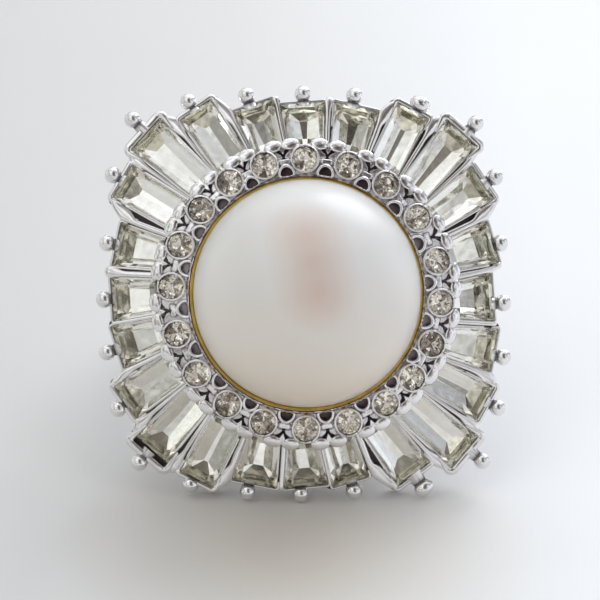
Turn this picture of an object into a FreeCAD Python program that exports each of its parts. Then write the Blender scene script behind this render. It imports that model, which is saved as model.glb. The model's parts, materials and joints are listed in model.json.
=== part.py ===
"""Cocktail ring: domed pearl in a gold-tone cup, cast halo of round stones, skirt of tapered baguettes.

Millimetres. The pieces are laid out about the finger bore: origin at its centre, bore axis along Y, head
up along +Z. The finished assembly is then laid down the way the ring rests on a table, face forward along
-Y and tipped back, with the origin on the surface under the middle of the ring and +Z up.
"""
import FreeCAD, Part
import Sketcher
import math
import os
from FreeCAD import Placement, Rotation, Vector

os.makedirs("parts", exist_ok=True)
doc = FreeCAD.newDocument("cocktail_ring")

# ---------------------------------------------------------------- driving dimensions
DIMS = [
    # finger band
    ("finger_radius", 8.65),        # US size 7 bore
    ("band_outer_radius", 10.2),
    ("band_low_width", 3.2),
    ("band_top_width", 8.0),
    ("saddle_height", 10.4),        # flat on which the basket is soldered
    ("saddle_half_length", 8.2),
    ("band_round", 0.6),
    # basket under the head
    ("basket_low_inner", 6.4),
    ("basket_low_outer", 7.6),
    ("basket_low_height", 0.9),
    ("basket_up_inner", 11.3),
    ("basket_up_outer", 12.7),
    ("basket_up_height", 0.75),
    ("basket_rib_width", 1.0),
    ("basket_rib_count", 12),
    # skirt of baguettes: the girdles lie on a cone
    ("skirt_tilt", 13.0),
    ("girdle_height", 15.0),        # height of that cone at girdle_datum
    ("girdle_datum", 11.0),
    ("frame_inner_radius", 6.5),
    ("frame_step_radius", 10.15),
    ("frame_seat_height", 15.1),    # flat on which collar and cup sit
    ("wall_above_girdle", 0.12),
    ("ledge_below_girdle", 0.6),
    ("frame_below_girdle", 1.35),
    ("wall_round", 0.5),            # reach of the casting beyond a stone's long sides
    ("rim_side", 0.14),             # reach beyond the outer end of the twelve side stones
    ("rim_middle", 0.25),           # the same on the eight stones next to the corners
    ("rim_corner", 0.45),           # the same on the four corner stones
    ("slot_play_side", 0.06),
    ("slot_play_long", 0.12),
    ("ledge_width", 0.3),
    # baguette cut
    ("crown_height", 0.45),
    ("crown_inset", 0.42),
    ("girdle_thick", 0.12),
    ("pavilion_depth", 0.65),
    ("pavilion_inset", 0.45),
    ("pavilion_end", 0.55),
    ("keel_depth", 1.28),
    ("keel_inset", 0.96),
    ("keel_end", 1.3),
    # ball pins
    ("ball_radius", 0.58),
    ("pin_neck_radius", 0.40),
    ("pin_drop", 0.35),             # ball centre below the wall tops
    # halo collar
    ("collar_inner", 8.17),
    ("collar_foot", 10.1),
    ("collar_outer", 10.55),
    ("collar_flange_low", 15.85),
    ("collar_top", 16.95),
    ("collar_edge_top", 16.27),
    ("seat_pitch_radius", 9.43),
    ("seat_top", 16.84),
    ("seat_tilt", 14.0),
    ("seat_outer", 1.06),
    ("seat_bore", 0.93),
    ("seat_ledge_bore", 0.60),
    ("seat_ledge_depth", 0.44),
    ("pad_radius", 0.42),
    ("pad_length", 0.34),
    ("pad_pitch_radius", 10.5),
    ("pad_height", 16.13),
    ("pad_half_angle", 3.4),
    # round stones
    ("round_radius", 0.88),
    ("round_table", 0.5),
    ("round_crown", 0.32),
    ("round_girdle", 0.08),
    ("round_depth", 0.78),
    ("round_sink", 0.12),
    # cup, cement and pearl
    ("cup_outer", 8.15),
    ("cup_inner", 7.99),
    ("cup_floor", 0.4),
    ("cup_lip", 17.1),
    ("cement_thick", 0.2),
    ("cement_radius", 7.2),
    ("pearl_base_radius", 7.5),
    ("pearl_radius", 7.95),
    ("pearl_waist", 16.9),
    ("pearl_dome", 6.2),
    ("pearl_shoulder", 5.2),
    # the way the ring lies on a table: tip about X, then the bore centre's place
    ("lie_angle", 61.5),
    ("lie_x", 0.0),
    ("lie_y", 5.94),
    ("lie_z", 6.17),
]

# Each tapered baguette: name, radius and bearing of the middle of its outer end, heading of its
# length, length in plan, width of the outer end, width of the inner end, then how far the ball of its
# pin stands beyond the outer end and to the left of the heading. Set by hand on the real piece, so
# the numbers differ a little from stone to stone.
STONES = [
    ("000", 13.24, -1.0, 4.0, 2.86, 3.30, 2.51, 0.73, -0.48),
    ("015", 13.77, 15.3, 17.2, 3.38, 3.00, 2.16, 0.45, -0.23),
    ("030", 14.80, 31.8, 34.5, 4.40, 2.83, 2.04, 0.93, -0.17),
    ("045", 15.81, 45.4, 48.7, 5.42, 2.80, 2.13, 1.20, -0.30),
    ("060", 14.94, 59.1, 62.3, 4.55, 2.43, 2.20, 0.66, -0.23),
    ("075", 13.62, 74.2, 77.1, 3.22, 3.17, 2.37, 0.71, 0.33),
    ("090", 13.33, 90.6, 93.9, 2.94, 3.12, 2.55, 0.67, -0.09),
    ("105", 13.69, 105.3, 109.0, 3.30, 2.92, 2.10, 0.77, 0.19),
    ("120", 14.96, 120.6, 124.1, 4.57, 2.59, 2.41, 0.75, 0.09),
    ("135", 15.73, 134.8, 137.8, 5.34, 2.92, 2.16, 1.38, -0.15),
    ("150", 14.96, 148.2, 149.1, 4.56, 2.64, 2.38, 0.79, -0.03),
    ("165", 13.57, 165.2, 168.1, 3.18, 3.08, 2.19, 0.67, 0.06),
    ("180", 13.45, 181.6, 183.9, 3.05, 3.00, 2.37, 0.56, -0.02),
    ("195", 13.60, 196.0, 197.6, 3.20, 3.02, 2.18, 0.80, 0.11),
    ("210", 14.65, 211.3, 215.2, 4.26, 2.68, 2.41, 0.66, 0.06),
    ("225", 15.26, 225.7, 228.9, 4.87, 2.78, 2.23, 1.28, -0.08),
    ("240", 15.03, 239.9, 242.8, 4.64, 2.56, 2.34, 0.53, -0.21),
    ("255", 13.78, 255.3, 258.8, 3.39, 3.17, 2.27, 0.64, -0.36),
    ("270", 13.52, 270.6, 275.5, 3.14, 3.09, 2.17, 0.48, -0.43),
    ("285", 13.61, 284.0, 287.1, 3.22, 2.63, 2.25, 0.68, 0.01),
    ("300", 14.86, 301.3, 307.2, 4.49, 2.79, 2.25, 1.21, 0.01),
    ("315", 15.88, 315.4, 319.6, 5.50, 2.80, 2.37, 1.38, 0.34),
    ("330", 14.94, 328.8, 331.1, 4.54, 2.57, 2.24, 0.91, 0.16),
    ("345", 13.96, 343.4, 349.4, 3.58, 3.02, 2.08, 0.70, -0.35),
]
FIELDS = ["end_radius", "end_bearing", "heading", "plan_length", "outer_width", "inner_width", "pin_reach", "pin_side"]

# Bearings of the 20 seats of the halo, counter-clockwise from the top one.
SEATS = [90.5, 108.1, 124.5, 141.4, 158.8, 176.8, 197.1, 215.9, 234.4, 251.4,
         269.9, 288.2, 306.1, 321.7, 338.3, 356.4, 374.1, 394.4, 413.8, 431.8]

sheet = doc.addObject("Spreadsheet::Sheet", "Dims")
row = 0


def cell(alias, value):
    global row
    row += 1
    sheet.set("A%d" % row, alias)
    sheet.set("B%d" % row, str(value))
    sheet.setAlias("B%d" % row, alias)


for alias, value in DIMS:
    cell(alias, value)
for stone in STONES:
    for field, value in zip(FIELDS, stone[1:]):
        cell("stone%s_%s" % (stone[0], field), value)
for k, bearing in enumerate(SEATS):
    cell("seat%02d_bearing" % (k + 1), bearing)
doc.recompute()


def dim(alias):
    return float(getattr(sheet, alias))


def stone_dim(name, field):
    return dim("stone%s_%s" % (name, field))


# ---------------------------------------------------------------- helpers
def body(name):
    b = doc.addObject("PartDesign::Body", name)
    b.Label = name
    return b


def origin_plane(b, role):
    return [f for f in b.Origin.OriginFeatures if f.Role == role][0]


def sketch(b, name, role, offset=None):
    s = b.newObject("Sketcher::SketchObject", name)
    s.AttachmentSupport = [(origin_plane(b, role), "")]
    s.MapMode = "FlatFace"
    if offset is not None:
        s.setExpression("AttachmentOffset.Base.z", offset)
    return s


def polyline(s, points):
    """Closed chain of lines through the points, joined at the corners. Returns the index of its first line."""
    first = s.GeometryCount
    n = len(points)
    for k in range(n):
        a, c = points[k], points[(k + 1) % n]
        s.addGeometry(Part.LineSegment(Vector(a[0], a[1], 0), Vector(c[0], c[1], 0)), False)
    for k in range(n):
        s.addConstraint(Sketcher.Constraint("Coincident", first + k, 2, first + (k + 1) % n, 1))
    return first


def pin_points(s, points, exprs, first=0):
    """Hold each corner of a closed chain at its coordinates, bound to the sheet where an expression is given."""
    for k, (p, e) in enumerate(zip(points, exprs)):
        for axis, value, text in (("DistanceX", p[0], e[0]), ("DistanceY", p[1], e[1])):
            if abs(value) < 1e-9:
                s.addConstraint(Sketcher.Constraint("PointOnObject", first + k, 1, -2 if axis == "DistanceX" else -1))
                continue
            i = s.addConstraint(Sketcher.Constraint(axis, -1, 1, first + k, 1, value))
            if text:
                s.renameConstraint(i, "%s%d" % ("x" if axis == "DistanceX" else "z", k))
                s.setExpression("Constraints.%s%d" % ("x" if axis == "DistanceX" else "z", k), text)


def revolve(b, name, points, exprs, feature="PartDesign::Revolution"):
    """Turn a closed profile in the XZ plane about the body's Z axis."""
    s = sketch(b, name + "_profile", "XZ_Plane")
    polyline(s, points)
    pin_points(s, points, exprs)
    r = b.newObject(feature, name)
    r.Profile = s
    r.ReferenceAxis = (s, ["V_Axis"])
    r.Angle = 360
    return r


TILT = math.radians(dim("skirt_tilt"))


def girdle_z(radius):
    return dim("girdle_height") - math.tan(TILT) * (radius - dim("girdle_datum"))


def cone_z(radius, above):
    """Height of the cone that lies 'above' the girdle cone, measured square to it."""
    return girdle_z(radius) + above / math.cos(TILT)


def rot_z(degrees):
    return Rotation(Vector(0, 0, 1), degrees)


# ---------------------------------------------------------------- finger band
shank = body("shank")
s = sketch(shank, "shank_side", "XZ_Plane")
R, Ro = dim("finger_radius"), dim("band_outer_radius")
hx, hz = dim("saddle_half_length"), dim("saddle_height")
reach = math.hypot(hx, hz)
low = math.atan2(hz, hx) - math.acos(Ro / reach)      # where the shoulder line touches the band
px, pz = Ro * math.cos(low), Ro * math.sin(low)
s.addGeometry(Part.ArcOfCircle(Part.Circle(Vector(0, 0, 0), Vector(0, 0, 1), Ro), math.pi - low, 2 * math.pi + low), False)
s.addGeometry(Part.LineSegment(Vector(px, pz, 0), Vector(hx, hz, 0)), False)
s.addGeometry(Part.LineSegment(Vector(hx, hz, 0), Vector(-hx, hz, 0)), False)
s.addGeometry(Part.LineSegment(Vector(-hx, hz, 0), Vector(-px, pz, 0)), False)
s.addGeometry(Part.Circle(Vector(0, 0, 0), Vector(0, 0, 1), R), False)
s.addConstraint(Sketcher.Constraint("Coincident", 0, 3, -1, 1))
s.addConstraint(Sketcher.Constraint("Coincident", 4, 3, -1, 1))
s.addConstraint(Sketcher.Constraint("Tangent", 0, 2, 1, 1))
s.addConstraint(Sketcher.Constraint("Coincident", 1, 2, 2, 1))
s.addConstraint(Sketcher.Constraint("Coincident", 2, 2, 3, 1))
s.addConstraint(Sketcher.Constraint("Tangent", 3, 2, 0, 1))
s.addConstraint(Sketcher.Constraint("Symmetric", 2, 1, 2, 2, -2))
for kind, ids, value, name, text in (
    ("Radius", (0,), Ro, "outer", "Dims.band_outer_radius"),
    ("Radius", (4,), R, "bore", "Dims.finger_radius"),
    ("DistanceX", (-1, 1, 2, 1), hx, "half_length", "Dims.saddle_half_length"),
    ("DistanceY", (-1, 1, 2, 1), hz, "saddle", "Dims.saddle_height"),
):
    i = s.addConstraint(Sketcher.Constraint(kind, *ids, value))
    s.renameConstraint(i, name)
    s.setExpression("Constraints." + name, text)
pad = shank.newObject("PartDesign::Pad", "shank_pad")
pad.Profile = s
pad.SideType = "Symmetric"
pad.setExpression("Length", "Dims.band_top_width")
doc.recompute()
full_volume = shank.Shape.Volume
# taper the band from the saddle down to the palm side
s = sketch(shank, "shank_taper", "YZ_Plane")
wt, wl = dim("band_top_width") / 2, dim("band_low_width") / 2
for side in (1, -1):
    points = [(side * wt, 7.0), (side * (wl + 0.28 * (wt - wl)), -4.0), (side * wl, -Ro - 0.5), (side * (wt + 1), -Ro - 0.5), (side * (wt + 1), 7.0)]
    first = polyline(s, points)
    pin_points_exprs = [
        ("Dims.band_top_width / 2", None),
        ("Dims.band_low_width / 2 + 0.14 * (Dims.band_top_width - Dims.band_low_width)", None),
        ("Dims.band_low_width / 2", "-Dims.band_outer_radius - 0.5"),
        ("Dims.band_top_width / 2 + 1", "-Dims.band_outer_radius - 0.5"),
        ("Dims.band_top_width / 2 + 1", None),
    ]
    for k, (p, e) in enumerate(zip(points, pin_points_exprs)):
        i = s.addConstraint(Sketcher.Constraint("DistanceX", -1, 1, first + k, 1, p[0]))
        n = "y%s%d" % ("a" if side > 0 else "b", k)
        s.renameConstraint(i, n)
        s.setExpression("Constraints." + n, e[0] if side > 0 else "-(%s)" % e[0])
        i = s.addConstraint(Sketcher.Constraint("DistanceY", -1, 1, first + k, 1, p[1]))
        if e[1]:
            n = "z%s%d" % ("a" if side > 0 else "b", k)
            s.renameConstraint(i, n)
            s.setExpression("Constraints." + n, e[1])
cut = shank.newObject("PartDesign::Pocket", "shank_taper_cut")
cut.Profile = s
cut.SideType = "Symmetric"
cut.Length = 40
doc.recompute()
assert cut.Shape.Volume < full_volume - 50, "the taper removed nothing"
# round the long outer edges of the band
edges = []
for k, e in enumerate(cut.Shape.Edges):
    m = e.valueAt((e.FirstParameter + e.LastParameter) / 2)
    d = math.hypot(m.x, m.z)
    if d > Ro - 0.05 and abs(m.y) > 1.0 and m.z < hz - 0.01 and e.Length > 2.5:
        edges.append("Edge%d" % (k + 1))
fillet = shank.newObject("PartDesign::Fillet", "shank_round")
fillet.Base = (cut, edges)
fillet.setExpression("Radius", "Dims.band_round")
doc.recompute()

# ---------------------------------------------------------------- basket
basket = body("under_gallery")
li, lo, z0 = dim("basket_low_inner"), dim("basket_low_outer"), dim("saddle_height")
z1 = z0 + dim("basket_low_height")
revolve(basket, "basket_low_ring",
        [(li, z0), (lo, z0), (lo, z1), (li, z1)],
        [("Dims.basket_low_inner", "Dims.saddle_height"), ("Dims.basket_low_outer", "Dims.saddle_height"),
         ("Dims.basket_low_outer", "Dims.saddle_height + Dims.basket_low_height"),
         ("Dims.basket_low_inner", "Dims.saddle_height + Dims.basket_low_height")])
doc.recompute()
ui, uo, uh = dim("basket_up_inner"), dim("basket_up_outer"), dim("basket_up_height")
zi = cone_z(ui, -dim("frame_below_girdle")) - 0.005
zo = cone_z(uo, -dim("frame_below_girdle")) - 0.005
s = sketch(basket, "basket_rib_side", "XZ_Plane")
low_in, low_out = (li + 0.15, z0 + 0.45), (lo - 0.1, z0 + 0.12)
up_out, up_in = (uo - 0.1, zo - 0.2), (ui + 0.1, zi - 0.1)
s.addGeometry(Part.Arc(Vector(low_out[0], low_out[1], 0), Vector(10.9, 11.3, 0), Vector(up_out[0], up_out[1], 0)), False)
s.addGeometry(Part.LineSegment(Vector(up_out[0], up_out[1], 0), Vector(up_in[0], up_in[1], 0)), False)
s.addGeometry(Part.Arc(Vector(up_in[0], up_in[1], 0), Vector(9.7, 12.05, 0), Vector(low_in[0], low_in[1], 0)), False)
s.addGeometry(Part.LineSegment(Vector(low_in[0], low_in[1], 0), Vector(low_out[0], low_out[1], 0)), False)
rib = basket.newObject("PartDesign::Pad", "basket_rib")
rib.Profile = s
rib.SideType = "Symmetric"
rib.setExpression("Length", "Dims.basket_rib_width")
doc.recompute()
ribs = basket.newObject("PartDesign::PolarPattern", "basket_ribs")
ribs.Originals = [rib]
ribs.Axis = (origin_plane(basket, "Z_Axis"), [""])
ribs.Angle = 360
ribs.setExpression("Occurrences", "Dims.basket_rib_count")
basket.Tip = ribs
doc.recompute()
revolve(basket, "basket_up_ring",
        [(ui, zi), (ui, zi - uh), (uo - 0.25, zo - uh), (uo, zo - uh + 0.25), (uo, zo)],
        [("Dims.basket_up_inner", None), ("Dims.basket_up_inner", None), ("Dims.basket_up_outer - 0.25", None),
         ("Dims.basket_up_outer", None), ("Dims.basket_up_outer", None)])
doc.recompute()

# ---------------------------------------------------------------- tapered baguettes
PLACES = {}     # name: (centre of inner end, centre of outer end, unit heading, unit left) in plan


def rim_reach(name):
    """How far the casting reaches beyond the stone's outer end."""
    if name in ("045", "135", "225", "315"):
        return dim("rim_corner")
    if name in ("030", "060", "120", "150", "210", "240", "300", "330"):
        return dim("rim_middle")
    return dim("rim_side")


for stone in STONES:
    name = stone[0]
    radius, bearing, heading = (stone_dim(name, f) for f in ("end_radius", "end_bearing", "heading"))
    length = stone_dim(name, "plan_length")
    u = Vector(math.cos(math.radians(heading)), math.sin(math.radians(heading)), 0)
    out = Vector(radius * math.cos(math.radians(bearing)), radius * math.sin(math.radians(bearing)), 0)
    PLACES[name] = (out - u * length, out, u, Vector(-u.y, u.x, 0))

SECTIONS = [
    # name, height, inset of the long sides, inset of the ends
    ("table", "Dims.crown_height", "Dims.crown_inset", "Dims.crown_inset"),
    ("girdle_top", None, None, None),
    ("girdle_low", "-Dims.girdle_thick", None, None),
    ("pavilion", "-Dims.pavilion_depth", "Dims.pavilion_inset", "Dims.pavilion_end"),
    ("keel", "-Dims.keel_depth", "Dims.keel_inset", "Dims.keel_end"),
]
START = 1.0     # the local origin lies this far behind the stone's inner end


def trapezoid(b, name, section, sid):
    label, height, side, end = section
    s = sketch(b, "%s_%s" % (b.Name, label), "XY_Plane", height)
    plan, wo, wi = (stone_dim(sid, f) for f in ("plan_length", "outer_width", "inner_width"))
    L = plan / math.cos(TILT)
    grow = (wo - wi) / L
    d = dim(side[5:]) if side else 0.0
    e = dim(end[5:]) if end else 0.0
    lean = math.cos(math.atan(grow / 2))
    w0, w1 = wi + grow * e - 2 * d / lean, wo - grow * e - 2 * d / lean
    x0, x1 = START + e, START + L - e
    polyline(s, [(x0, -w0 / 2), (x1, -w1 / 2), (x1, w1 / 2), (x0, w0 / 2)])
    s.addConstraint(Sketcher.Constraint("Symmetric", 0, 1, 2, 2, -1))
    s.addConstraint(Sketcher.Constraint("Symmetric", 0, 2, 1, 2, -1))
    n = "Dims.stone%s_" % sid
    T_len = "(%splan_length / cos(Dims.skirt_tilt * 1 deg))" % n
    T_grow = "((%souter_width - %sinner_width) / %s)" % (n, n, T_len)
    T_d = "%s / cos(atan(%s / 2))" % (side, T_grow) if side else "0"
    T_e = end or "0"
    for kind, ids, value, cname, text in (
        ("DistanceX", (-1, 1, 0, 1), x0, "near", "%g + %s" % (START, T_e)),
        ("DistanceX", (-1, 1, 0, 2), x1, "far", "%g + %s - %s" % (START, T_len, T_e)),
        ("DistanceY", (0, 1, 2, 2), w0, "near_width", "%sinner_width + %s * %s - 2 * %s" % (n, T_grow, T_e, T_d)),
        ("DistanceY", (0, 2, 1, 2), w1, "far_width", "%souter_width - %s * %s - 2 * %s" % (n, T_grow, T_e, T_d)),
    ):
        i = s.addConstraint(Sketcher.Constraint(kind, *ids, value))
        s.renameConstraint(i, cname)
        s.setExpression("Constraints." + cname, text)
    return s


baguettes = []
for stone in STONES:
    sid = stone[0]
    b = body("baguette_" + sid)
    parts = [trapezoid(b, sid, section, sid) for section in SECTIONS]
    loft = b.newObject("PartDesign::AdditiveLoft", b.Name + "_cut")
    loft.Profile = parts[0]
    loft.Sections = parts[1:]
    loft.Ruled = True
    inner, outer, u, left = PLACES[sid]
    heading = stone_dim(sid, "heading")
    turn = rot_z(heading) * Rotation(Vector(0, 1, 0), dim("skirt_tilt"))
    start = Vector(inner.x, inner.y, girdle_z(math.hypot(inner.x, inner.y))) - turn.multVec(Vector(START, 0, 0))
    b.Placement = Placement(start, turn)
    baguettes.append(b)
doc.recompute()

# ---------------------------------------------------------------- round stones
SEAT_TILT = dim("seat_tilt")


def seat_place(bearing):
    """Placement whose origin is the middle of the seat's rim and whose Z is the stone's axis."""
    a = math.radians(bearing)
    turn = rot_z(bearing) * Rotation(Vector(0, 1, 0), SEAT_TILT)
    r = dim("seat_pitch_radius")
    return Placement(Vector(r * math.cos(a), r * math.sin(a), dim("seat_top")), turn)


rounds = []
rt, rr, rc, rg, rd, rs = (dim("round_" + n) for n in ("table", "radius", "crown", "girdle", "depth", "sink"))
for k in range(20):
    b = body("round_stone_%02d" % (k + 1))
    revolve(b, b.Name + "_cut",
            [(0, rc - rs), (rt, rc - rs), (rr, -rs), (rr, -rs - rg), (0, -rs - rd)],
            [(None, "Dims.round_crown - Dims.round_sink"), ("Dims.round_table", "Dims.round_crown - Dims.round_sink"),
             ("Dims.round_radius", "-Dims.round_sink"), ("Dims.round_radius", "-Dims.round_sink - Dims.round_girdle"),
             (None, "-Dims.round_sink - Dims.round_depth")])
    b.Placement = seat_place(dim("seat%02d_bearing" % (k + 1)))
    rounds.append(b)
doc.recompute()

# ---------------------------------------------------------------- cup, cement, pearl
cup = body("pearl_cup")
co, ci, cz, cf, cl = dim("cup_outer"), dim("cup_inner"), dim("frame_seat_height"), dim("cup_floor"), dim("cup_lip")
revolve(cup, "cup_turned",
        [(0, cz), (co, cz), (co, cl), (ci, cl), (ci, cz + cf), (0, cz + cf)],
        [(None, "Dims.frame_seat_height"), ("Dims.cup_outer", "Dims.frame_seat_height"), ("Dims.cup_outer", "Dims.cup_lip"),
         ("Dims.cup_inner", "Dims.cup_lip"), ("Dims.cup_inner", "Dims.frame_seat_height + Dims.cup_floor"),
         (None, "Dims.frame_seat_height + Dims.cup_floor")])
cement = body("cement_pad")
cr, ct = dim("cement_radius"), dim("cement_thick")
revolve(cement, "cement_disc",
        [(0, cz + cf), (cr, cz + cf), (cr, cz + cf + ct), (0, cz + cf + ct)],
        [(None, "Dims.frame_seat_height + Dims.cup_floor"), ("Dims.cement_radius", "Dims.frame_seat_height + Dims.cup_floor"),
         ("Dims.cement_radius", "Dims.frame_seat_height + Dims.cup_floor + Dims.cement_thick"),
         (None, "Dims.frame_seat_height + Dims.cup_floor + Dims.cement_thick")])
pearl = body("pearl")
s = sketch(pearl, "pearl_profile", "XZ_Plane")
pb, pr, pw, pd = dim("pearl_base_radius"), dim("pearl_radius"), dim("pearl_waist"), dim("pearl_dome")
rsh = dim("pearl_shoulder")
base = cz + cf + ct
# a dome of two tangent arcs: a tight shoulder that stands upright at the waist, and a crown
crown_r = ((pr - rsh) ** 2 + pd ** 2 - rsh ** 2) / (2 * (pd - rsh))
small, large = Vector(pr - rsh, pw, 0), Vector(0, pw + pd - crown_r, 0)
along = (small - large).normalize()
meet = large + along * crown_r
lean = math.atan2(meet.y - small.y, meet.x - small.x)
s.addGeometry(Part.ArcOfCircle(Part.Circle(small, Vector(0, 0, 1), rsh), 0, lean), False)
s.addGeometry(Part.ArcOfCircle(Part.Circle(large, Vector(0, 0, 1), crown_r), math.atan2(along.y, along.x), math.pi / 2), False)
s.addGeometry(Part.LineSegment(Vector(0, pw + pd, 0), Vector(0, base, 0)), False)
s.addGeometry(Part.LineSegment(Vector(0, base, 0), Vector(pb, base, 0)), False)
s.addGeometry(Part.LineSegment(Vector(pb, base, 0), Vector(pr, pw, 0)), False)
s.addConstraint(Sketcher.Constraint("Tangent", 0, 2, 1, 1))
s.addConstraint(Sketcher.Constraint("Coincident", 1, 2, 2, 1))
s.addConstraint(Sketcher.Constraint("Coincident", 2, 2, 3, 1))
s.addConstraint(Sketcher.Constraint("Coincident", 3, 2, 4, 1))
s.addConstraint(Sketcher.Constraint("Coincident", 4, 2, 0, 1))
s.addConstraint(Sketcher.Constraint("Horizontal", 3))
s.addConstraint(Sketcher.Constraint("Vertical", 2))
s.addConstraint(Sketcher.Constraint("PointOnObject", 1, 3, -2))
s.addConstraint(Sketcher.Constraint("PointOnObject", 2, 1, -2))
for kind, ids, value, name, text in (
    ("DistanceX", (-1, 1, 4, 2), pr, "waist_radius", "Dims.pearl_radius"),
    ("DistanceY", (-1, 1, 4, 2), pw, "waist", "Dims.pearl_waist"),
    ("DistanceY", (-1, 1, 0, 3), pw, "shoulder_centre", "Dims.pearl_waist"),
    ("Radius", (0,), rsh, "shoulder", "Dims.pearl_shoulder"),
    ("DistanceY", (-1, 1, 2, 1), pw + pd, "top", "Dims.pearl_waist + Dims.pearl_dome"),
    ("DistanceX", (-1, 1, 3, 2), pb, "base_radius", "Dims.pearl_base_radius"),
    ("DistanceY", (-1, 1, 3, 2), base, "base", "Dims.frame_seat_height + Dims.cup_floor + Dims.cement_thick"),
):
    i = s.addConstraint(Sketcher.Constraint(kind, *ids, value))
    s.renameConstraint(i, name)
    s.setExpression("Constraints." + name, text)
dome = pearl.newObject("PartDesign::Revolution", "pearl_dome_turned")
dome.Profile = s
dome.ReferenceAxis = (s, ["V_Axis"])
dome.Angle = 360
doc.recompute()

# ---------------------------------------------------------------- skirt casting
# Its top and underside are cones and its slots stand at 24 different headings, so it is computed.
fi, fs, fh = dim("frame_inner_radius"), dim("frame_step_radius"), dim("frame_seat_height")
above, ledge, below = dim("wall_above_girdle"), dim("ledge_below_girdle"), dim("frame_below_girdle")
FAR = 18.5


def turned(points):
    wire = Part.makePolygon([Vector(x, 0, z) for x, z in points + points[:1]])
    return Part.Face(wire).revolve(Vector(0, 0, 0), Vector(0, 0, 1), 360)


def prism(points, low_z, high_z):
    wire = Part.makePolygon([Vector(p.x, p.y, low_z) for p in points + points[:1]])
    return Part.Face(wire).extrude(Vector(0, 0, high_z - low_z))


def stone_plan(sid, grow_side, grow_in, grow_out):
    """Plan outline of a stone's girdle, grown square to its long sides and at its two ends."""
    inner, outer, u, left = PLACES[sid]
    wo, wi, L = stone_dim(sid, "outer_width"), stone_dim(sid, "inner_width"), stone_dim(sid, "plan_length")
    slope = (wo - wi) / 2 / L
    side = grow_side / math.cos(math.atan(slope))
    a, c = inner - u * grow_in, outer + u * grow_out
    wa, wc = wi / 2 - slope * grow_in + side, wo / 2 + slope * grow_out + side
    return [a - left * wa, c - left * wc, c + left * wc, a + left * wa]


def lobe(sid):
    """Plan face of the casting round one stone, with rounded outer corners."""
    r = dim("wall_round")
    end = rim_reach(sid)
    p = stone_plan(sid, 0, 0.2, end - r)
    wire = Part.makePolygon([Vector(q.x, q.y, 0) for q in p + p[:1]])
    return Part.Face(wire).makeOffset2D(r, 0)


lower = turned([(fi, cone_z(fs, -below)), (fs, cone_z(fs, -below)), (FAR, cone_z(FAR, -below)),
                (FAR, cone_z(FAR, -ledge)), (fs, cone_z(fs, -ledge)), (fi, cone_z(fs, -ledge))])
upper = turned([(fi, cone_z(fs, -ledge)), (fs, cone_z(fs, -ledge)), (FAR, cone_z(FAR, -ledge)),
                (FAR, cone_z(FAR, above)), (fs, cone_z(fs, above)), (fs, fh), (fi, fh)])
lobes = []
for stone in STONES:
    face = lobe(stone[0])
    face.translate(Vector(0, 0, 10))
    lobes.append(face.extrude(Vector(0, 0, 8)))
outline = Part.makeCylinder(10.9, 8, Vector(0, 0, 10)).multiFuse(lobes).removeSplitter()
wide_slots, open_backs = [], []
for stone in STONES:
    sid = stone[0]
    play = dim("slot_play_side") if rim_reach(sid) == dim("rim_side") else dim("slot_play_long")
    w = dim("ledge_width")
    wide_slots.append(prism(stone_plan(sid, play, 0.06, 0.06), 10, 18))
    open_backs.append(prism(stone_plan(sid, -w, -w, -w - 0.12), 10, 18))
upper_part = upper.common(outline).cut(Part.makeCompound(wide_slots))
lower_part = lower.common(outline).cut(Part.makeCompound(open_backs))
frame_shape = upper_part.fuse(lower_part).removeSplitter()
if frame_shape.ShapeType == "Compound" and len(frame_shape.Solids) == 1:
    frame_shape = frame_shape.Solids[0]
frame = doc.addObject("Part::Feature", "baguette_frame")
frame.Label = "baguette_frame"
frame.Shape = frame_shape
frame.Placement = Placement()

# ---------------------------------------------------------------- ball pins
pins = []
for stone in STONES:
    sid = stone[0]
    inner, outer, u, left = PLACES[sid]
    rim = rim_reach(sid)
    foot = outer + u * rim + left * stone_dim(sid, "pin_side")
    ball = outer + u * stone_dim(sid, "pin_reach") + left * stone_dim(sid, "pin_side")
    z = cone_z(math.hypot(foot.x, foot.y), above) - dim("pin_drop")
    foot.z = ball.z = z
    # one turned piece: flat foot soldered to the rim, straight neck, ball
    rb, rn, d = dim("ball_radius"), dim("pin_neck_radius"), (ball - foot).Length
    if d * d + rn * rn < rb * rb:
        meet, stem = Vector(0, math.sqrt(rb * rb - d * d), 0), []
    else:
        meet = Vector(d - math.sqrt(rb * rb - rn * rn), rn, 0)
        stem = [Part.makeLine(Vector(0, rn, 0), meet)]
    lean = math.atan2(meet.y, meet.x - d)
    top = Vector(d + rb * math.cos(lean / 2), rb * math.sin(lean / 2), 0)
    arc = Part.Arc(meet, top, Vector(d + rb, 0, 0)).toShape()
    start = Vector(0, stem[0].Vertexes[0].Y if stem else meet.y, 0)
    wire = Part.Wire([Part.makeLine(Vector(0, 0, 0), start)] + stem + [arc, Part.makeLine(Vector(d + rb, 0, 0), Vector(0, 0, 0))])
    solid = Part.Face(wire).revolve(Vector(0, 0, 0), Vector(1, 0, 0), 360)
    solid.Placement = Placement(foot, rot_z(stone_dim(sid, "heading")))
    pins.append(solid.Solids[0] if solid.Solids else Part.Solid(solid))
pin_group = doc.addObject("Part::Feature", "ball_pins")
pin_group.Label = "ball_pins"
pin_group.Shape = Part.makeCompound(pins)
pin_group.Placement = Placement()

# ---------------------------------------------------------------- halo collar
ki, kf, ko = dim("collar_inner"), dim("collar_foot"), dim("collar_outer")
zt, ze, zl = dim("collar_top"), dim("collar_edge_top"), dim("collar_flange_low")
ring = turned([(ki, fh), (kf, fh), (kf, zl), (ko, zl + 0.1), (ko, ze), (ki, zt)])


def collar_z(radius):
    return zt + (ze - zt) * (radius - ki) / (ko - ki)


def polar(radius, bearing, z=0.0):
    a = math.radians(bearing)
    return Vector(radius * math.cos(a), radius * math.sin(a), z)


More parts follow.
